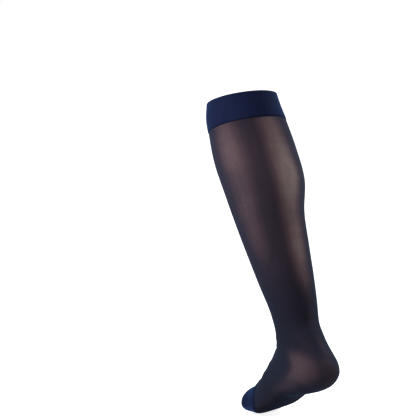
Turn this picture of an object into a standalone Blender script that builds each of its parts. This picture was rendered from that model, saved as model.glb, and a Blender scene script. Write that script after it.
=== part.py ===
"""Knee-high compression stocking with an open toe and a closed heel, in the hollow form that it is worn in.

It is a left stocking in mid-stride: the shin leans forward, the heel is lifted and the ball of the foot is
down. The toes point to -Y, the outer side of the leg is +X and +Z is up. The origin is the centre of the knee
band. Sizes here are in millimetres and degrees, and the meshes are in metres.
"""
import math
from collections import namedtuple

import bmesh
import bpy
from mathutils import Vector

# Driving dimensions
SHEER_WALL = 1.0         # single knit of the leg and foot
WELT_WALL = 2.0          # turned double knit of the two bands
SEAM_GAP = 0.3           # left open where two pieces meet
HEEL_LIFT = 20.0         # pitch of the sole, heel up
HEEL_BACK = 189.0        # where the back of the heel meets the plane of the sole: behind the origin
HEEL_HEIGHT = -355.5     # and above it
FOOT_SIDE = -20.0        # the foot stands this far inside the knee
COLUMNS = 36             # faces round a tube
RINGS = 2                # rings of faces from one section to the next
END_RING = 0.06          # a piece's second ring lies this far in, so that its cut edge is square to the cloth
MM = 0.001

# The leg, from the knee band down to the ankle. Each section is a ring: the height of its middle, how far
# behind and beside the origin it lies, how far its back is tipped up, its depth from shin to calf, its width,
# and where it is widest as a share of the depth, counted from the shin.
LegSection = namedtuple("LegSection", "name height back side lean depth width widest")
LEG_SECTIONS = (
    LegSection("band_top", 19, -5, 0, 16, 98, 97, 0.50),
    LegSection("band_middle", 0, 0, 0, 16, 106, 104, 0.50),
    LegSection("band_foot", -19, 7, -1.5, 17, 112, 108, 0.50),
    LegSection("upper_calf", -58, 22.5, -5, 18, 121, 112.5, 0.48),
    LegSection("calf", -101, 40, -10, 18, 121, 107.5, 0.46),
    LegSection("lower_calf", -144, 51, -11.5, 18, 104, 92.5, 0.46),
    LegSection("mid_shin", -188, 67.5, -14, 19, 90, 83.5, 0.48),
    LegSection("low_shin", -228, 82.5, -17, 20, 79, 74, 0.50),
    LegSection("above_ankle", -259, 95, -19, 20, 69.5, 65, 0.50),
)

# The foot, from the ankle to the open toe. Each ring runs from the instep to the sole. Both points are given
# along the sole from the back of the heel, and up from the plane of the sole. Crown is how far the ridge of the
# instep lies to the inner side, swing turns the inner side of a ring forward, and a squareness above 2 flattens
# a half.
FootSection = namedtuple("FootSection", "name top_along top_up sole_along sole_up side crown swing "
                         "width widest top_square sole_square")
FOOT_SECTIONS = (
    FootSection("ankle", 87, 98, 25, 93, 0, 0, 0, 61, 0.46, 2.0, 2.0),
    FootSection("ankle_bones", 89, 86, 20, 76, 0, 0, 0, 61.5, 0.44, 2.0, 2.0),
    FootSection("bend", 92.5, 78.5, 12, 57, 0, 0, 0, 62, 0.43, 2.0, 2.0),
    FootSection("heel_top", 99, 74, 2, 39, 0, 0, 0, 63.5, 0.45, 2.0, 2.0),
    FootSection("heel_back", 105, 70.8, -5, 24, 0, 0, 0, 64, 0.47, 2.1, 2.0),
    FootSection("heel_round", 111.5, 67.5, -3, 11, 0, 0, 0, 63.5, 0.50, 2.1, 2.0),
    FootSection("heel_corner", 117.5, 64, 14, 2, 0, 0, 0, 63, 0.52, 2.1, 2.1),
    FootSection("heel_pad", 123.5, 60.5, 39, -0.5, 0, 0, 1, 64, 0.54, 2.1, 2.3),
    FootSection("arch_back", 129.5, 56, 66, 1, 0, 1, 3, 67, 0.56, 2.1, 2.4),
    FootSection("arch", 136, 51.5, 93, 2.7, 0, 2, 6, 74, 0.60, 2.1, 2.5),
    FootSection("ball_back", 143, 47, 125, -3.8, 1.7, 4, 15, 81.5, 0.66, 2.1, 3.3),
    FootSection("toe_band_back", 154, 45, 151, -4.5, 2.2, 5, 23, 87, 0.68, 2.1, 3.9),
    FootSection("ball", 162.5, 41.5, 163.5, -2.2, 0.3, 5, 22.5, 88.5, 0.65, 2.1, 3.5),
    FootSection("toe_root", 173, 38, 173, -0.6, -0.8, 5, 21, 86.5, 0.60, 2.1, 2.9),
    FootSection("toe_opening", 184, 36, 184, 2, 0, 5, 17, 83, 0.55, 2.0, 2.3),
)

# The pieces: the sections that each runs between, its wall, and where that wall lies: 0 is half to each side of
# the sections and -1 is all inside them
Piece = namedtuple("Piece", "name first last wall wall_side colour roughness")
NAVY = (0.012, 0.020, 0.075)
SHEER_NAVY = (0.020, 0.020, 0.035)
PIECES = (
    Piece("top_welt", "band_top", "band_foot", WELT_WALL, 0, NAVY, 0.75),
    Piece("leg", "band_foot", "ankle", SHEER_WALL, -1, SHEER_NAVY, 0.6),
    Piece("foot", "ankle", "toe_band_back", SHEER_WALL, -1, SHEER_NAVY, 0.6),
    Piece("toe_welt", "toe_band_back", "toe_opening", WELT_WALL, 0, NAVY, 0.75),
)

# One ring of cloth: its front and back points, half its width as a vector, where it is widest, and how square
# its two halves are
Ring = namedtuple("Ring", "front back across widest front_square back_square")


def clear_scene():
    for obj in list(bpy.data.objects):
        bpy.data.objects.remove(obj, do_unlink=True)


def leg_ring(section):
    lean = math.radians(section.lean)
    middle = Vector((section.side, section.back, section.height))
    half_depth = Vector((0, math.cos(lean), math.sin(lean))) * section.depth / 2
    across = Vector((section.width / 2, 0, 0))
    return Ring(middle - half_depth, middle + half_depth, across, section.widest, 2.0, 2.0)


def on_foot(side, along, up):
    """A point of the foot, from its place along the sole and above the sole's plane."""
    pitch = math.radians(HEEL_LIFT)
    return Vector((
        FOOT_SIDE + side,
        HEEL_BACK - along * math.cos(pitch) - up * math.sin(pitch),
        HEEL_HEIGHT - along * math.sin(pitch) + up * math.cos(pitch)))


def foot_ring(section):
    swing = math.radians(section.swing)
    top = on_foot(section.side - section.crown, section.top_along, section.top_up)
    sole = on_foot(section.side, section.sole_along, section.sole_up)
    across = Vector((math.cos(swing), math.sin(swing), 0)) * section.width / 2
    return Ring(top, sole, across, section.widest, section.top_square, section.sole_square)


def between(before, start, end, after, share):
    """Catmull-Rom curve through start and end, for numbers or vectors."""
    slope_in = (end - before) / 2
    slope_out = (after - start) / 2
    bend = (end - start) * 3 - slope_in * 2 - slope_out
    turn = (start - end) * 2 + slope_in + slope_out
    return start + slope_in * share + bend * share ** 2 + turn * share ** 3


def ring_at(rings, place):
    """The ring at a place along the stocking, where whole numbers are the sections themselves."""
    start = min(int(place), len(rings) - 2)
    near = [rings[min(max(i, 0), len(rings) - 1)] for i in range(start - 1, start + 3)]
    return Ring(*(between(*values, place - start) for values in zip(*near)))


def ring_points(ring):
    """Points round a ring, from its front by the outer side to its back and home by the inner side."""
    middle = ring.front.lerp(ring.back, ring.widest)
    points = []
    for i in range(COLUMNS):
        angle = 2 * math.pi * i / COLUMNS
        to_front = math.cos(angle)
        to_side = math.sin(angle)
        square = ring.front_square if to_front >= 0 else ring.back_square
        reach = ring.front - middle if to_front >= 0 else ring.back - middle
        along = abs(to_front) ** (2 / square)
        aside = math.copysign(abs(to_side) ** (2 / square), to_side)
        points.append(middle + reach * along + ring.across * aside)
    return points


def trimmed(courses):
    """Both ends of a tube drawn in by half the seam gap."""
    for end, inner in ((0, 1), (-1, -2)):
        edge_and_next = zip(courses[end], courses[inner])
        courses[end] = [p + (q - p).normalized() * SEAM_GAP / 2 for p, q in edge_and_next]
    return courses


def tube_mesh(name, courses):
    """An open tube with its faces pointing outwards, lofted through rings of points."""
    bm = bmesh.new()
    loops = [[bm.verts.new(p * MM) for p in course] for course in courses]
    for upper, lower in zip(loops, loops[1:]):
        for i in range(COLUMNS):
            j = (i + 1) % COLUMNS
            bm.faces.new((upper[i], lower[i], lower[j], upper[j]))
    mesh = bpy.data.meshes.new(name)
    bm.to_mesh(mesh)
    bm.free()
    mesh.shade_smooth()
    return mesh


def cloth_material(piece):
    material = bpy.data.materials.new(piece.name + "_cloth")
    material.use_nodes = True
    shader = material.node_tree.nodes["Principled BSDF"]
    shader.inputs["Base Color"].default_value = (*piece.colour, 1)
    shader.inputs["Roughness"].default_value = piece.roughness
    shader.inputs["Metallic"].default_value = 0
    return material


def make_piece(piece, names, rings, collection):
    first = names.index(piece.first)
    last = names.index(piece.last)
    places = [first + step / RINGS for step in range((last - first) * RINGS + 1)]
    places += [first + END_RING, last - END_RING]
    courses = [ring_points(ring_at(rings, place)) for place in sorted(places)]
    mesh = tube_mesh(piece.name, trimmed(courses))
    mesh.materials.append(cloth_material(piece))
    obj = bpy.data.objects.new(piece.name, mesh)
    collection.objects.link(obj)
    wall = obj.modifiers.new("wall", "SOLIDIFY")
    wall.thickness = piece.wall * MM
    wall.offset = piece.wall_side
    wall.use_even_offset = True


def main():
    clear_scene()
    collection = bpy.data.collections.new("compression_stocking")
    bpy.context.scene.collection.children.link(collection)
    names = [section.name for section in LEG_SECTIONS + FOOT_SECTIONS]
    rings = [leg_ring(section) for section in LEG_SECTIONS]
    rings += [foot_ring(section) for section in FOOT_SECTIONS]
    for piece in PIECES:
        make_piece(piece, names, rings, collection)


main()
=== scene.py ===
"""Looks of a knee-high compression stocking: a sheer navy knit, an opaque knee band and an opaque toe band.

The toes point to -Y, the outer side of the leg is +X and +Z is up. The origin is the knee band's centre. The
tables of the form are in millimetres and degrees, and the meshes are in metres.
"""
import math
from collections import namedtuple

import bmesh
import bpy
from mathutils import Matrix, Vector


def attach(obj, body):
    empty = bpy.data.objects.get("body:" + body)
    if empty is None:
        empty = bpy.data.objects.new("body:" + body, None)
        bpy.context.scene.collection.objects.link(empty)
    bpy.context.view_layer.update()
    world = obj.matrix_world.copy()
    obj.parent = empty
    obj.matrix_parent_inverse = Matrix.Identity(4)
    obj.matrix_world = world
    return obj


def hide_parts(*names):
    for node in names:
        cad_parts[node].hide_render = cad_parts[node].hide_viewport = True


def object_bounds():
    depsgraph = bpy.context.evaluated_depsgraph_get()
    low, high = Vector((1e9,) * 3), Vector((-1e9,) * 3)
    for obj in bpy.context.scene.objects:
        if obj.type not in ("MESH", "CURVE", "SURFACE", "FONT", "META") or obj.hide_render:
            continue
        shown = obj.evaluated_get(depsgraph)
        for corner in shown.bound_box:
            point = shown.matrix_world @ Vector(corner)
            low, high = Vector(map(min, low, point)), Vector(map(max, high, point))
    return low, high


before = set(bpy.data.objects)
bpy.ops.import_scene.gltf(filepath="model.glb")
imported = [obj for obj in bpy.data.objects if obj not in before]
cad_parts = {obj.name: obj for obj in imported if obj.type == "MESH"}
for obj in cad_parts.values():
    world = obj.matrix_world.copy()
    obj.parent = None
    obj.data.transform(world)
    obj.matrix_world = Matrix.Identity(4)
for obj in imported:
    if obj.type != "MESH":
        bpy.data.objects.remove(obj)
CAD_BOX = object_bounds()
MM = 0.001

# ---- The form that the stocking is worn in ----
HEEL_LIFT = 20.0         # pitch of the sole, heel up
HEEL_BACK = 189.0        # where the back of the heel meets the plane of the sole: behind the origin
HEEL_HEIGHT = -355.5     # and above it
FOOT_SIDE = -20.0        # the foot stands this far inside the knee
OVAL = 2.0               # squareness of a plain oval; more than this flattens it

# A ring of the leg: the height of its middle, how far behind and beside the origin it lies, how far its back
# is tipped up, its depth from shin to calf, its width, where it is widest as a share of the depth, counted
# from the shin, and how far the knit is stretched open there, from 0 to 1.
LegSection = namedtuple("LegSection", "name height back side lean depth width widest open")
LEG_SECTIONS = (
    LegSection("band_top", 19, -5, 0, 16, 98, 97, 0.50, 0.68),
    LegSection("band_middle", 0, 0, 0, 16, 106, 104, 0.50, 0.68),
    LegSection("band_foot", -19, 7, -1.5, 17, 112, 108, 0.50, 0.76),
    LegSection("upper_calf", -58, 22.5, -5, 18, 121, 112.5, 0.48, 1.0),
    LegSection("calf", -101, 40, -10, 18, 121, 107.5, 0.46, 0.90),
    LegSection("lower_calf", -144, 51, -11.5, 18, 104, 92.5, 0.46, 0.78),
    LegSection("mid_shin", -188, 67.5, -14, 19, 90, 83.5, 0.48, 0.67),
    LegSection("low_shin", -228, 82.5, -17, 20, 79, 74, 0.50, 0.29),
    LegSection("above_ankle", -259, 95, -19, 20, 69.5, 65, 0.50, 0.07),
)

# A ring of the foot runs from the instep to the sole. Both points are given along the sole from the back of
# the heel, and up from the plane of the sole. Side is how far the ring lies to the outer side, crown is how
# far the ridge of the instep lies to the inner side of that, and swing turns the inner side of a ring
# forward. Each half has its own squareness. Width, widest and open are as for the leg.
FootSection = namedtuple("FootSection", "name top_along top_up sole_along sole_up side crown swing "
                         "width widest top_square sole_square open")
FOOT_SECTIONS = (
    FootSection("ankle", 87, 98, 25, 93, 0, 0, 0, 61, 0.46, 2.0, 2.0, 0),
    FootSection("ankle_bones", 89, 86, 20, 76, 0, 0, 0, 61.5, 0.44, 2.0, 2.0, 0.03),
    FootSection("bend", 92.5, 78.5, 12, 57, 0, 0, 0, 62, 0.43, 2.0, 2.0, 0.08),
    FootSection("heel_top", 99, 74, 2, 39, 0, 0, 0, 63.5, 0.45, 2.0, 2.0, 0.1),
    FootSection("heel_back", 105, 70.8, -5, 24, 0, 0, 0, 64, 0.47, 2.1, 2.0, 0.1),
    FootSection("heel_round", 111.5, 67.5, -3, 11, 0, 0, 0, 63.5, 0.50, 2.1, 2.0, 0.1),
    FootSection("heel_corner", 117.5, 64, 14, 2, 0, 0, 0, 63, 0.52, 2.1, 2.1, 0.08),
    FootSection("heel_pad", 123.5, 60.5, 39, -0.5, 0, 0, 1, 64, 0.54, 2.1, 2.3, 0.06),
    FootSection("arch_back", 129.5, 56, 66, 1, 0, 1, 3, 67, 0.56, 2.1, 2.4, 0.06),
    FootSection("arch", 136, 51.5, 93, 2.7, 0, 2, 6, 74, 0.60, 2.1, 2.5, 0.06),
    FootSection("ball_back", 143, 47, 125, -3.8, 1.7, 4, 15, 81.5, 0.66, 2.1, 3.3, 0.08),
    FootSection("toe_band_back", 154, 45, 151, -4.5, 2.2, 5, 23, 87, 0.68, 2.1, 3.9, 0.08),
    FootSection("ball", 162.5, 41.5, 163.5, -2.2, 0.3, 5, 22.5, 88.5, 0.65, 2.1, 3.5, 0.08),
    FootSection("toe_root", 173, 38, 173, -0.6, -0.8, 5, 21, 86.5, 0.60, 2.1, 2.9, 0.08),
    FootSection("toe_opening", 184, 36, 184, 2, 0, 5, 17, 83, 0.55, 2.0, 2.3, 0.08),
)
SECTION_NAMES = [section.name for section in LEG_SECTIONS + FOOT_SECTIONS]

# One ring: its front and back points, half its width as a vector, where it is widest, how square its two
# halves are, and how far the knit is open
Ring = namedtuple("Ring", "front back across widest front_square back_square open")

# A point of the cloth has a place and a turn. The place counts sections from the top of the knee band: 2 is
# the band's foot, 9 the ankle, 11 the bend and 20 where the toe band begins. The turn runs from 0 at the
# front, by the outer side, to 1 at the front again.
OUTER_SIDE = 0.25        # the turn that lengths down the cloth are measured at

# ---- The knit ----
COLUMNS = 128            # faces round the cloth
LEG_RINGS = 16           # rings of faces from one section of the leg to the next
FOOT_RINGS = 9           # and of the foot
KNIT_THICKNESS = 0.5
KNIT_TUCK = 2.0          # the sheer knit runs this far into each band
WALES = 320              # columns of stitches round the stocking
SHEER_COURSES = 700      # rows of stitches down the sheer knit
BAND_COURSES = 60        # and down a band

# The bands are turned double, with a round fold at the free edge and a thin turned-in edge at the sheer knit
BAND_HALF = 0.8          # half of a band's thickness
BAND_LIP = 0.3           # how far the turned-in edge stands out from the sheer knit
BAND_TAPER = 1.2         # the band thins to that over this length
TAPER_MIDDLE = 0.8       # and halfway along it, it is this share of its half thickness
BAND_RINGS = 14          # rings of faces down the outside of a band, and as many up the inside
FOLD_RINGS = 6           # and over its fold
BAND_STEPS = 24          # steps that a band's length is measured in

# Creases are soft troughs with a low ridge to each side. Each has the place and turn of its middle, half its
# length as a share of a turn, half its width and its depth in millimetres, and how many places it drifts down
# in a turn.
Crease = namedtuple("Crease", "place turn span width depth drift")
CREASES = (
    # Across the front of the ankle, where the foot bends up
    Crease(10.55, 0.02, 0.19, 2.4, 0.7, -0.4),
    Crease(11.60, 0.11, 0.15, 2.2, 0.9, 1.2),
    Crease(11.50, -0.12, 0.14, 2.2, 0.8, -1.0),
    Crease(12.70, -0.01, 0.12, 1.8, 0.4, -0.8),
    # Across the cord of the heel
    Crease(7.72, 0.47, 0.10, 2.6, 0.14, 0.5),
    Crease(8.30, 0.52, 0.13, 2.6, 0.20, -0.3),
    Crease(8.86, 0.49, 0.12, 2.4, 0.22, 0.2),
    Crease(9.50, 0.53, 0.13, 2.6, 0.18, -0.4),
    # In the hollow of the sole
    Crease(17.35, 0.63, 0.13, 3.2, 0.5, 1.6),
    Crease(18.05, 0.58, 0.16, 3.6, 0.6, 1.2),
    Crease(18.80, 0.64, 0.10, 3.0, 0.4, 1.9),
)

# Lanes are painted highlights: stripes down the leg where the knit is made more open, so lighter and pinker,
# standing in for the light of the softboxes from each side; between them the knit is made denser, a painted
# shade. A lane has the turn of its middle at the upper calf, how far that moves from one section to the next,
# half its width as a share of a turn, how open it is against the table, and how many places further down it
# stays open.
HighlightLane = namedtuple("HighlightLane", "turn drift reach strength further")
PAINTED_HIGHLIGHT_LANES = (
    HighlightLane(0.304, 0.000, 0.088, 0.67, -0.12),
    HighlightLane(0.496, 0.003, 0.088, 1.09, 0.80),
    HighlightLane(0.800, 0.000, 0.110, 0.92, 0.3),
    HighlightLane(0.015, 0.000, 0.120, 0.88, 0.0),
)
# Between the lanes the knit is made denser: a painted shade, the dark middle of the calf away from both side
# lights
PAINTED_SHADE_VALLEY = 0.34       # how open the knit is between lanes, against the table

# A dip is painted shade: a lane closes up a little there, darkening it between two painted highlights. It
# has its middle, half its length in places, half its width as a share of a turn, and the share by which the
# lane closes.
ShadeDip = namedtuple("ShadeDip", "place turn half_length reach closing")
PAINTED_SHADE_DIPS = (
    ShadeDip(3.80, 0.304, 0.9, 0.130, 0.11),
    ShadeDip(5.15, 0.500, 1.0, 0.130, 0.16),
)

# Patches of the ankle and the foot, where the knit is made more open, so lighter and pinker than round them:
# partly the knit stretched over the heel and the foot, partly painted highlight where light falls. A patch
# has its middle, how far that moves round from one section to the next, half its length in places, how far it
# reaches before and after its middle as shares of a turn, and how open it is.
OpenLitPatch = namedtuple("OpenLitPatch", "place turn drift half_length before after open")
OPEN_AND_LIT_PATCHES = (
    # Each side of the heel, and the arch in front of it
    OpenLitPatch(13.6, 0.302, -0.006, 3.0, 0.068, 0.230, 0.56),
    OpenLitPatch(15.7, 0.306, 0.006, 2.6, 0.090, 0.150, 0.44),
    OpenLitPatch(13.7, 0.704, 0.006, 3.0, 0.230, 0.068, 0.56),
    OpenLitPatch(15.7, 0.698, -0.006, 2.7, 0.150, 0.090, 0.42),
    # Above the heel's side, its back, the foot of its cord, and the cord
    OpenLitPatch(11.2, 0.410, 0.000, 1.9, 0.080, 0.080, 0.22),
    OpenLitPatch(13.6, 0.500, 0.000, 2.8, 0.170, 0.110, 0.38),
    OpenLitPatch(11.3, 0.515, 0.000, 1.6, 0.060, 0.080, 0.36),
    OpenLitPatch(8.30, 0.525, -0.004, 1.6, 0.070, 0.070, 0.29),
    # Each side of the ball of the foot
    OpenLitPatch(18.2, 0.345, 0.000, 2.2, 0.100, 0.100, 0.17),
    OpenLitPatch(18.2, 0.655, 0.000, 2.2, 0.100, 0.100, 0.17),
)

# ---- Materials ----
# Colours of the sheer knit seen square on: dense, open, and where it is most open a sand that is a painted
# highlight of lit skin
DENSE_NAVY = (0.0138, 0.0134, 0.0240, 1)
OPEN_MAUVE = (0.158, 0.078, 0.099, 1)
OPENEST_SAND_HIGHLIGHT = (0.27, 0.232, 0.200, 1)
MAUVE_POWER = 2.0        # how late the mauve comes in as the knit opens
SAND_HIGHLIGHT_POWER = 4.0         # and the sand
# Its colours seen along the cloth, towards the outline, dense and open: there the yarn closes up over the
# pink, and a bluish sheen is painted in
DENSE_RIM_SHEEN = (0.0094, 0.0162, 0.0325, 1)
OPEN_RIM_SHEEN = (0.031, 0.036, 0.060, 1)
RIM_POWER = 1.3          # how close to the outline they come in
FACING_BLEND = 0.5
# Its inner face, dense and open
INSIDE_DENSE = (0.10, 0.07, 0.09, 1)
INSIDE_OPEN = (0.50, 0.215, 0.315, 1)
INSIDE_CLEAR = 0.25      # how much shows through the inner face where it is most open
SHEER_CLEAR = 0.56       # how much shows through the knit where it is most open, seen square on
DENSE_CLEAR = 0.03       # and where it is densest
CLEAR_POWER = 1.4        # how late it clears as it opens
SHEER_CLOSING = 1.6      # how fast the yarns close up as the knit turns away

# The bands' yarn, and a painted shade along their fold and along their turned-in edge
BAND_DARK = (0.0055, 0.0080, 0.027, 1)
BAND_LIGHT = (0.0105, 0.0155, 0.050, 1)
BAND_EDGE_SHADE = (0.0025, 0.0030, 0.0085, 1)
FOLD_SHADE_END = 0.045    # the fold's dark line ends at this share of the band's length
FOLD_SHADE_DEPTH = 0.75
FOOT_SHADE_START = 0.945  # and the turned-in edge's begins here
FOOT_SHADE_FULL = 0.985   # and is at its full darkness from here
FOOT_SHADE_DEPTH = 0.5

SHEER_FINISH = {
    "Roughness": 0.85,
    "Specular IOR Level": 0.05,
    "Sheen Weight": 0.10,
    "Sheen Roughness": 0.3,
    "Sheen Tint": (0.25, 0.42, 1.0, 1),
}
INSIDE_FINISH = {
    "Roughness": 0.9,
    "Specular IOR Level": 0.1,
}
BAND_FINISH = {
    "Roughness": 0.9,
    "Specular IOR Level": 0.03,
    "Sheen Weight": 0.38,
    "Sheen Roughness": 0.3,
    "Sheen Tint": (0.15, 0.40, 1.0, 1),
}

# Uneven yarn is noise: how often it varies round the stocking and down it
COURSE_STREAKS = (3.0, 110.0)
WALE_STREAKS = (70.0, 2.5)
CLOUDS = (6.0, 11.0)
BAND_STREAKS = (90.0, 0.8)
STREAK_DETAIL = 3.0
CLOUD_DETAIL = 1.0
EVEN_SHARE = 0.74        # how open the knit is against its table, before the noise
CLOUD_SHARE = 0.30       # how much the clouds add to that
STREAK_SHARE = 0.45      # and the streaks

# Stitches are a bump, in millimetres
SHEER_STITCH = 0.04
BAND_STITCH = 0.06
STITCH_STRENGTH = 0.6
COURSE_SHARE = 0.5       # height of the rows against the columns

COLOUR_MIX_INPUTS = (0, 6, 7)    # a mix node's sockets for its factor and its two colours
COLOUR_MIX_OUTPUT = 2

# ---- Studio ----
CAMERA_AZIMUTH = 148.0
CAMERA_ELEVATION = 5.0
CAMERA_DISTANCE = 2.5
CAMERA_SENSOR = 36.0     # millimetres
CAMERA_CLIP = 100.0
PICTURE = 416            # pixels across
FOCAL = 1800.0           # pixels
ORIGIN_ACROSS = 243.7    # where the origin shows, in pixels from the left
ORIGIN_DOWN = 113.0      # and from the top
WHITE = (1.0, 1.0, 1.0, 1)
ROOM_LIGHT = 0.30        # how much of the white backdrop lights the stocking
OVERHEAD = 1.0           # strength of the overhead light
OVERHEAD_ANGLE = 120.0   # and how wide it is
FLOOR_RADIUS = 40.0      # metres
FLOOR_SIDES = 96
FLOOR_GAP = 0.0005       # below the stocking
FLOOR_GLOW = 0.88        # keeps the floor white to the camera
FLOOR_SEEN = (0.8, 0.8, 0.8, 1)
FLOOR_LIT = (0.55, 0.55, 0.55, 1)    # the colour that it lights the stocking with

# Area lights that look at the middle of the stocking. Lengths are in metres and energies in watts.
Softbox = namedtuple("Softbox", "name azimuth elevation distance width height watts")
SOFTBOXES = (
    Softbox("left_box", CAMERA_AZIMUTH - 70, 25, 0.9, 0.35, 0.45, 7.5),
    Softbox("right_box", CAMERA_AZIMUTH + 112, 25, 0.9, 0.35, 0.45, 6.0),
)


# ---- Form ----
def place_of(name):
    """The place of a section along the stocking."""
    return SECTION_NAMES.index(name)


def leg_ring(section):
    lean = math.radians(section.lean)
    middle = Vector((section.side, section.back, section.height))
    half_depth = Vector((0, math.cos(lean), math.sin(lean))) * section.depth / 2
    across = Vector((section.width / 2, 0, 0))
    return Ring(middle - half_depth, middle + half_depth, across, section.widest, OVAL, OVAL, section.open)


def on_foot(side, along, up):
    """A point of the foot, from its place along the sole and above the sole's plane."""
    pitch = math.radians(HEEL_LIFT)
    return Vector((
        FOOT_SIDE + side,
        HEEL_BACK - along * math.cos(pitch) - up * math.sin(pitch),
        HEEL_HEIGHT - along * math.sin(pitch) + up * math.cos(pitch)))


def foot_ring(section):
    swing = math.radians(section.swing)
    top = on_foot(section.side - section.crown, section.top_along, section.top_up)
    sole = on_foot(section.side, section.sole_along, section.sole_up)
    across = Vector((math.cos(swing), math.sin(swing), 0)) * section.width / 2
    return Ring(top, sole, across, section.widest, section.top_square, section.sole_square, section.open)


RINGS = [leg_ring(section) for section in LEG_SECTIONS] + [foot_ring(section) for section in FOOT_SECTIONS]


def between(before, start, end, after, share):
    """Catmull-Rom curve through start and end, for numbers or vectors."""
    slope_in = (end - before) / 2
    slope_out = (after - start) / 2
    bend = (end - start) * 3 - slope_in * 2 - slope_out
    turn = (start - end) * 2 + slope_in + slope_out
    return start + slope_in * share + bend * share ** 2 + turn * share ** 3


def ring_at(place):
    """The ring at a place along the stocking, where whole numbers are the sections themselves."""
    start = min(max(int(place), 0), len(RINGS) - 2)
    near = [RINGS[min(max(i, 0), len(RINGS) - 1)] for i in range(start - 1, start + 3)]
    return Ring(*(between(*values, place - start) for values in zip(*near)))


def ring_point(ring, turn):
    """The point of a ring at a turn."""
    middle = ring.front.lerp(ring.back, ring.widest)
    to_front = math.cos(math.tau * turn)
    to_side = math.sin(math.tau * turn)
    square = ring.front_square if to_front >= 0 else ring.back_square
    reach = ring.front - middle if to_front >= 0 else ring.back - middle
    along = abs(to_front) ** (2 / square)
    aside = math.copysign(abs(to_side) ** (2 / square), to_side)
    return middle + reach * along + ring.across * aside


def spacing_at(place, turn):
    """How far apart sections are near a point of the cloth."""
    before = ring_point(ring_at(place - 0.5), turn)
    return (ring_point(ring_at(place + 0.5), turn) - before).length


def outward(place, turn):
    """Direction straight out of the form at a point."""
    step = 0.01
    down = ring_point(ring_at(place + step), turn) - ring_point(ring_at(place - step), turn)
    ring = ring_at(place)
    round_it = ring_point(ring, turn + step) - ring_point(ring, turn - step)
    return down.cross(round_it).normalized()


# ---- Creases, and how far the knit is open, with painted light ----
def bump(distance):
    """A smooth bump: 1 in its middle and 0 at a distance of 1 and beyond."""
    return max(0.0, 1 - distance ** 2) ** 2


def turn_between(turn, middle):
    """How far one turn lies after another, the short way round."""
    return (turn - middle + 0.5) % 1.0 - 0.5


CREASE_SPACINGS = [spacing_at(crease.place, crease.turn) for crease in CREASES]


def crease_height(place, turn):
    """How far the creases push a point of the cloth out, in millimetres; troughs are below zero."""
    height = 0.0
    for crease, spacing in zip(CREASES, CREASE_SPACINGS):
        aside = turn_between(turn, crease.turn)
        across = (place - crease.place - crease.drift * aside) * spacing / crease.width
        height -= crease.depth * bump(aside / crease.span) * (1 - across ** 2) * math.exp(-across ** 2)
    return height


def open_with_painted_light(place, turn):
    """How far the knit is open, from 0 to 1: stretched open down the leg, with painted highlight lanes and
    patches and painted shade between them.
    """
    opened_with_painted_light = ring_at(place).open * PAINTED_SHADE_VALLEY
    for lane in PAINTED_HIGHLIGHT_LANES:
        middle = lane.turn + lane.drift * (place - place_of("upper_calf"))
        rise = bump(turn_between(turn, middle) / lane.reach)
        beside = ring_at(place - lane.further).open
        opened_with_painted_light = max(opened_with_painted_light, beside * (PAINTED_SHADE_VALLEY + (lane.strength - PAINTED_SHADE_VALLEY) * rise))
    for dip in PAINTED_SHADE_DIPS:
        along = bump((place - dip.place) / dip.half_length)
        opened_with_painted_light *= 1 - dip.closing * along * bump(turn_between(turn, dip.turn) / dip.reach)
    for patch in OPEN_AND_LIT_PATCHES:
        middle = patch.turn + patch.drift * (place - patch.place)
        along = bump(((place - patch.place) / patch.half_length) ** 2)
        aside = turn_between(turn, middle)
        around = bump(aside / (patch.after if aside > 0 else patch.before))
        opened_with_painted_light = max(opened_with_painted_light, patch.open * along * around)
    return opened_with_painted_light


# ---- Cloth ----
def down_and_round(face):
    """A number that grows round each ring of a straight tube's faces, and from ring to ring down it."""
    middle = face.calc_center_median()
    return math.atan2(middle.y, middle.x) / math.tau - middle.z


def straight_tube(steps):
    """A straight tube of round rings, one unit apart, from z = 0 down to z = -steps.

    Spin leaves the faces in an order that changes from run to run, so they are sorted.
    """
    bm = bmesh.new()
    bmesh.ops.create_circle(bm, segments=COLUMNS, radius=1.0)
    bmesh.ops.spin(bm, geom=bm.verts[:] + bm.edges[:], cent=(0, 0, 0), axis=(0, 0, 1), dvec=(0, 0, -1),
                   angle=0, steps=steps, use_duplicate=False)
    bm.faces.sort(key=down_and_round)
    return bm


def column_turn(vert):
    """The turn of a vertex of a straight tube, from 0 to just under 1."""
    column = round(math.atan2(vert.co.y, vert.co.x) / math.tau * COLUMNS)
    return (column % COLUMNS) / COLUMNS


def lay_knit_map(bm, turn_layer, down_layer, length):
    """UV map: across is the turn, and up is the way down the cloth as a share of its length."""
    uv = bm.loops.layers.uv.new("knit")
    for face in bm.faces:
        turns = [loop.vert[turn_layer] for loop in face.loops]
        wraps = max(turns) - min(turns) > 0.5
        for loop, turn in zip(face.loops, turns):
            whole = 1.0 if wraps and turn < 0.5 else 0.0
            loop[uv].uv = (turn + whole, loop.vert[down_layer] / length)


def cloth_object(name, bm, materials):
    """A mesh object at the origin, in metres, that rides on the part's one body."""
    bmesh.ops.scale(bm, vec=(MM, MM, MM), verts=bm.verts)
    mesh = bpy.data.meshes.new(name)
    bm.to_mesh(mesh)
    bm.free()
    mesh.shade_smooth()
    for material in materials:
        mesh.materials.append(material)
    obj = bpy.data.objects.new(name, mesh)
    bpy.context.scene.collection.objects.link(obj)
    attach(obj, "root")
    return obj


def sheer_places():
    """Where the rings of the sheer knit lie, from inside the knee band to inside the toe band."""
    ankle = place_of("ankle")
    first = place_of("band_foot")
    last = place_of("toe_band_back")
    places = [first - KNIT_TUCK / spacing_at(first, OUTER_SIDE)]
    places += [first + i / LEG_RINGS for i in range((ankle - first) * LEG_RINGS)]
    places += [ankle + i / FOOT_RINGS for i in range((last - ankle) * FOOT_RINGS + 1)]
    places.append(last + KNIT_TUCK / spacing_at(last, OUTER_SIDE))
    return places


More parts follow.
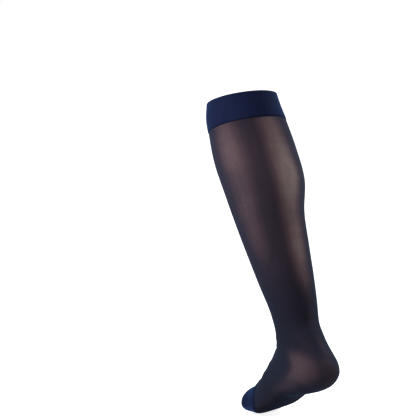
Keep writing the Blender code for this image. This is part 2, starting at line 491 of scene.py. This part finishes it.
def make_sheer_knit(materials):
    """The leg and the foot in one tube of thin cloth, with its creases."""
    places = sheer_places()
    rings = [ring_at(place) for place in places]
    downs = [0.0]
    for ring, below in zip(rings, rings[1:]):
        step = ring_point(below, OUTER_SIDE) - ring_point(ring, OUTER_SIDE)
        downs.append(downs[-1] + step.length)
    bm = straight_tube(len(places) - 1)
    turn_layer = bm.verts.layers.float.new("turn")
    down_layer = bm.verts.layers.float.new("down")
    open_and_light_layer = bm.verts.layers.float.new("open")
    heights = {}
    for vert in bm.verts:
        row = round(-vert.co.z)
        turn = column_turn(vert)
        vert[turn_layer] = turn
        vert[down_layer] = downs[row]
        # The open attribute carries the painted highlight lanes and patches and the painted shade between
        # them
        vert[open_and_light_layer] = open_with_painted_light(places[row], turn)
        heights[vert] = crease_height(places[row], turn)
        vert.co = ring_point(rings[row], turn)
    bmesh.ops.recalc_face_normals(bm, faces=bm.faces)
    bm.normal_update()
    for vert, height in heights.items():
        vert.co += vert.normal * height
    lay_knit_map(bm, turn_layer, down_layer, downs[-1])
    knit = cloth_object("sheer_knit", bm, materials)
    wall = knit.modifiers.new("thickness", "SOLIDIFY")
    wall.thickness = KNIT_THICKNESS * MM
    wall.offset = -1
    wall.material_offset = 1
    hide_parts("leg", "foot")


def band_outline(length):
    """Outline of a turned band, from the turned-in edge up the outside, over the fold and down the inside.

    Each point has its distance from the fold and its height out from the form.
    """
    taper_middle = (length - BAND_TAPER / 2, BAND_HALF * TAPER_MIDDLE)
    outline = [(length, BAND_LIP), taper_middle, (length - BAND_TAPER, BAND_HALF)]
    straight = length - BAND_TAPER - BAND_HALF
    outside = [BAND_HALF + straight * i / BAND_RINGS for i in range(BAND_RINGS)]
    outline += [(distance, BAND_HALF) for distance in reversed(outside)]
    for i in range(1, FOLD_RINGS):
        angle = math.pi * i / FOLD_RINGS
        outline.append((BAND_HALF * (1 - math.sin(angle)), BAND_HALF * math.cos(angle)))
    outline += [(distance, -BAND_HALF) for distance in outside + [length]]
    return outline


def make_band(name, fold_name, foot_name, node, material):
    """A double band, turned over at its free edge."""
    fold = place_of(fold_name)
    foot = place_of(foot_name)
    places = [fold + (foot - fold) * i / BAND_STEPS for i in range(BAND_STEPS + 1)]
    side = [ring_point(ring_at(place), OUTER_SIDE) for place in places]
    length = sum((b - a).length for a, b in zip(side, side[1:]))
    outline = band_outline(length)
    bm = straight_tube(len(outline) - 1)
    turn_layer = bm.verts.layers.float.new("turn")
    down_layer = bm.verts.layers.float.new("down")
    for vert in bm.verts:
        distance, height = outline[round(-vert.co.z)]
        turn = column_turn(vert)
        place = fold + (foot - fold) * distance / length
        vert[turn_layer] = turn
        vert[down_layer] = distance
        vert.co = ring_point(ring_at(place), turn) + outward(place, turn) * height
    bmesh.ops.bridge_loops(bm, edges=[edge for edge in bm.edges if edge.is_boundary])
    bmesh.ops.recalc_face_normals(bm, faces=bm.faces)
    lay_knit_map(bm, turn_layer, down_layer, length)
    band = cloth_object(name, bm, [material])
    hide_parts(node)


# ---- Shader nodes ----
def new_material(name):
    material = bpy.data.materials.new(name)
    material.use_nodes = True
    tree = material.node_tree
    return material, tree, tree.nodes["Principled BSDF"]


def plug(tree, socket, value):
    """Gives a socket a value or another node's output."""
    if isinstance(value, bpy.types.NodeSocket):
        tree.links.new(value, socket)
    else:
        socket.default_value = value


def add_node(tree, kind, **inputs):
    """A shader node with its inputs set by name, each to a value or to another node's output."""
    node = tree.nodes.new(kind)
    for name, value in inputs.items():
        plug(tree, node.inputs[name.replace("_", " ")], value)
    return node


def maths(tree, operation, first, second=0.0, third=0.0):
    node = tree.nodes.new("ShaderNodeMath")
    node.operation = operation
    for socket, value in zip(node.inputs, (first, second, third)):
        plug(tree, socket, value)
    return node.outputs[0]


def colour_mix(tree, factor, first, second):
    node = tree.nodes.new("ShaderNodeMix")
    node.data_type = "RGBA"
    for index, value in zip(COLOUR_MIX_INPUTS, (factor, first, second)):
        plug(tree, node.inputs[index], value)
    return node.outputs[COLOUR_MIX_OUTPUT]


def share_between(tree, value, start, end):
    """How far a value has come from start to end, from 0 to 1."""
    return add_node(tree, "ShaderNodeMapRange", Value=value, From_Min=start, From_Max=end).outputs["Result"]


def set_finish(shader, finish):
    for name, value in finish.items():
        shader.inputs[name].default_value = value


def knit_coordinates(tree):
    """The knit's map, and the turn and the way down as two values."""
    uv = tree.nodes.new("ShaderNodeUVMap")
    uv.uv_map = "knit"
    parts = add_node(tree, "ShaderNodeSeparateXYZ", Vector=uv.outputs["UV"])
    return uv.outputs["UV"], parts.outputs["X"], parts.outputs["Y"]


def knit_open_and_painted_light(tree):
    """How far the knit is open, from the mesh, with its painted highlights and painted shade."""
    attribute = tree.nodes.new("ShaderNodeAttribute")
    attribute.attribute_name = "open"
    return attribute.outputs["Fac"]


def stitch_bump(tree, shader, turn, down, courses, height):
    """The columns and rows of stitches as a fine bump."""
    columns = maths(tree, "SINE", maths(tree, "MULTIPLY", turn, math.tau * WALES))
    rows = maths(tree, "SINE", maths(tree, "MULTIPLY", down, math.tau * courses))
    stitches = maths(tree, "ADD", columns, maths(tree, "MULTIPLY", rows, COURSE_SHARE))
    raised = add_node(tree, "ShaderNodeBump", Strength=STITCH_STRENGTH, Distance=height * MM, Height=stitches)
    tree.links.new(raised.outputs["Normal"], shader.inputs["Normal"])


def streaks(tree, uv, scale, detail=STREAK_DETAIL):
    """Uneven yarn: noise drawn out along the wales or the courses, around 0.5."""
    mapping = add_node(tree, "ShaderNodeMapping", Vector=uv, Scale=(*scale, 1.0))
    noise = add_node(tree, "ShaderNodeTexNoise", Vector=mapping.outputs[0], Scale=1.0, Detail=detail)
    return noise.outputs["Fac"]


# ---- Materials ----
def make_sheer_outside():
    material, tree, shader = new_material("sheer_outside")
    uv, turn, down = knit_coordinates(tree)
    uneven = maths(tree, "MULTIPLY", streaks(tree, uv, COURSE_STREAKS), streaks(tree, uv, WALE_STREAKS))
    clouds = streaks(tree, uv, CLOUDS, CLOUD_DETAIL)
    cloudy = maths(tree, "MULTIPLY_ADD", clouds, CLOUD_SHARE, EVEN_SHARE)
    yarn = maths(tree, "MULTIPLY_ADD", uneven, STREAK_SHARE, cloudy)
    opened_with_painted_light = maths(tree, "MULTIPLY", knit_open_and_painted_light(tree), yarn)
    facing = add_node(tree, "ShaderNodeLayerWeight", Blend=FACING_BLEND).outputs["Facing"]
    # The colours follow the open mask, so its painted highlights come out pink and its painted shade navy
    mauve = colour_mix(tree, maths(tree, "POWER", opened_with_painted_light, MAUVE_POWER), DENSE_NAVY, OPEN_MAUVE)
    # Painted highlight: sand where the knit is most open, in the brightest lanes
    square_on = colour_mix(tree, maths(tree, "POWER", opened_with_painted_light, SAND_HIGHLIGHT_POWER), mauve, OPENEST_SAND_HIGHLIGHT)
    # Towards the outline the yarn hides the pink, and a bluish painted sheen comes in
    rim_with_sheen = colour_mix(tree, opened_with_painted_light, DENSE_RIM_SHEEN, OPEN_RIM_SHEEN)
    colour = colour_mix(tree, maths(tree, "POWER", facing, RIM_POWER), square_on, rim_with_sheen)
    tree.links.new(colour, shader.inputs["Base Color"])
    closing = maths(tree, "POWER", maths(tree, "SUBTRACT", 1.0, facing), SHEER_CLOSING)
    clearing = maths(tree, "POWER", opened_with_painted_light, CLEAR_POWER)
    clear = maths(tree, "MULTIPLY_ADD", clearing, SHEER_CLEAR - DENSE_CLEAR, DENSE_CLEAR)
    seen_through = maths(tree, "MULTIPLY", clear, closing)
    tree.links.new(maths(tree, "SUBTRACT", 1.0, seen_through), shader.inputs["Alpha"])
    set_finish(shader, SHEER_FINISH)
    stitch_bump(tree, shader, turn, down, SHEER_COURSES, SHEER_STITCH)
    return material


def make_sheer_inside():
    material, tree, shader = new_material("sheer_inside")
    opened_with_painted_light = knit_open_and_painted_light(tree)
    # The inner face is pinker where the knit is open, so it carries the painted highlights and shade too
    colour = colour_mix(tree, opened_with_painted_light, INSIDE_DENSE, INSIDE_OPEN)
    tree.links.new(colour, shader.inputs["Base Color"])
    clear = maths(tree, "MULTIPLY", opened_with_painted_light, INSIDE_CLEAR)
    tree.links.new(maths(tree, "SUBTRACT", 1.0, clear), shader.inputs["Alpha"])
    set_finish(shader, INSIDE_FINISH)
    return material


def make_band_knit():
    material, tree, shader = new_material("band_knit")
    uv, turn, down = knit_coordinates(tree)
    yarn = colour_mix(tree, streaks(tree, uv, BAND_STREAKS), BAND_DARK, BAND_LIGHT)
    # Painted shade: the band darkens along its fold and along its turned-in edge, where it meets the sheer
    # knit
    fold = share_between(tree, down, FOLD_SHADE_END, 0.0)
    foot = share_between(tree, down, FOOT_SHADE_START, FOOT_SHADE_FULL)
    edge = maths(tree, "MULTIPLY_ADD", foot, FOOT_SHADE_DEPTH, maths(tree, "MULTIPLY", fold, FOLD_SHADE_DEPTH))
    tree.links.new(colour_mix(tree, edge, yarn, BAND_EDGE_SHADE), shader.inputs["Base Color"])
    set_finish(shader, BAND_FINISH)
    stitch_bump(tree, shader, turn, down, BAND_COURSES, BAND_STITCH)
    return material


# ---- Studio ----
def direction(azimuth, elevation):
    """The way out from the stocking. An azimuth counts from the toes by the outer side."""
    azimuth = math.radians(azimuth)
    elevation = math.radians(elevation)
    level = math.cos(elevation)
    return Vector((math.sin(azimuth) * level, -math.cos(azimuth) * level, math.sin(elevation)))


def make_camera():
    back = direction(CAMERA_AZIMUTH, CAMERA_ELEVATION)
    aim = (-back).to_track_quat("-Z", "Y")
    right = aim @ Vector((1, 0, 0))
    up = aim @ Vector((0, 1, 0))
    data = bpy.data.cameras.new("camera")
    data.sensor_width = CAMERA_SENSOR
    data.lens = FOCAL / PICTURE * data.sensor_width
    data.clip_end = CAMERA_CLIP
    camera = bpy.data.objects.new("camera", data)
    scale = CAMERA_DISTANCE / FOCAL
    camera.location = (back * CAMERA_DISTANCE + right * (PICTURE / 2 - ORIGIN_ACROSS) * scale
                       + up * (ORIGIN_DOWN - PICTURE / 2) * scale)
    camera.rotation_mode = "QUATERNION"
    camera.rotation_quaternion = aim
    bpy.context.scene.collection.objects.link(camera)
    bpy.context.scene.camera = camera


def make_floor():
    """A pale floor, which lights the stocking from below less than it shows."""
    bm = bmesh.new()
    bmesh.ops.create_circle(bm, cap_ends=True, segments=FLOOR_SIDES, radius=FLOOR_RADIUS)
    bmesh.ops.translate(bm, verts=bm.verts, vec=(0, 0, CAD_BOX[0].z - FLOOR_GAP))
    mesh = bpy.data.meshes.new("floor")
    bm.to_mesh(mesh)
    bm.free()
    floor = bpy.data.objects.new("floor", mesh)
    bpy.context.scene.collection.objects.link(floor)
    material = bpy.data.materials.new("pale_floor")
    material.use_nodes = True
    tree = material.node_tree
    tree.nodes.clear()
    seen = tree.nodes.new("ShaderNodeLightPath").outputs["Is Camera Ray"]
    matt = add_node(tree, "ShaderNodeBsdfDiffuse", Color=FLOOR_SEEN).outputs[0]
    glow = add_node(tree, "ShaderNodeEmission", Color=WHITE, Strength=FLOOR_GLOW).outputs[0]
    both = tree.nodes.new("ShaderNodeAddShader")
    tree.links.new(matt, both.inputs[0])
    tree.links.new(glow, both.inputs[1])
    grey = add_node(tree, "ShaderNodeBsdfDiffuse", Color=FLOOR_LIT).outputs[0]
    mix = tree.nodes.new("ShaderNodeMixShader")
    tree.links.new(seen, mix.inputs[0])
    tree.links.new(grey, mix.inputs[1])
    tree.links.new(both.outputs[0], mix.inputs[2])
    output = tree.nodes.new("ShaderNodeOutputMaterial")
    tree.links.new(mix.outputs[0], output.inputs[0])
    mesh.materials.append(material)


def make_softbox(box):
    away = direction(box.azimuth, box.elevation)
    data = bpy.data.lights.new(box.name, "AREA")
    data.shape = "RECTANGLE"
    data.size = box.width
    data.size_y = box.height
    data.energy = box.watts
    light = bpy.data.objects.new(box.name, data)
    light.location = (CAD_BOX[0] + CAD_BOX[1]) / 2 + away * box.distance
    light.rotation_mode = "QUATERNION"
    light.rotation_quaternion = (-away).to_track_quat("-Z", "Y")
    bpy.context.scene.collection.objects.link(light)


def make_studio():
    """A white backdrop that lights the room less than it shows, a wide overhead light and two softboxes."""
    scene = bpy.context.scene
    scene.view_settings.view_transform = "Standard"
    world = bpy.data.worlds.new("studio")
    scene.world = world
    world.use_nodes = True
    tree = world.node_tree
    seen = tree.nodes.new("ShaderNodeLightPath").outputs["Is Camera Ray"]
    strength = maths(tree, "MULTIPLY_ADD", seen, 1.0 - ROOM_LIGHT, ROOM_LIGHT)
    background = tree.nodes["Background"]
    background.inputs["Color"].default_value = WHITE
    tree.links.new(strength, background.inputs["Strength"])
    data = bpy.data.lights.new("overhead", "SUN")
    data.energy = OVERHEAD
    data.angle = math.radians(OVERHEAD_ANGLE)
    scene.collection.objects.link(bpy.data.objects.new("overhead", data))
    for box in SOFTBOXES:
        make_softbox(box)


make_camera()
make_floor()
make_studio()
band_knit = make_band_knit()
make_sheer_knit([make_sheer_outside(), make_sheer_inside()])
make_band("knee_band", "band_top", "band_foot", "top_welt", band_knit)
make_band("toe_band", "toe_opening", "toe_band_back", "toe_welt", band_knit)
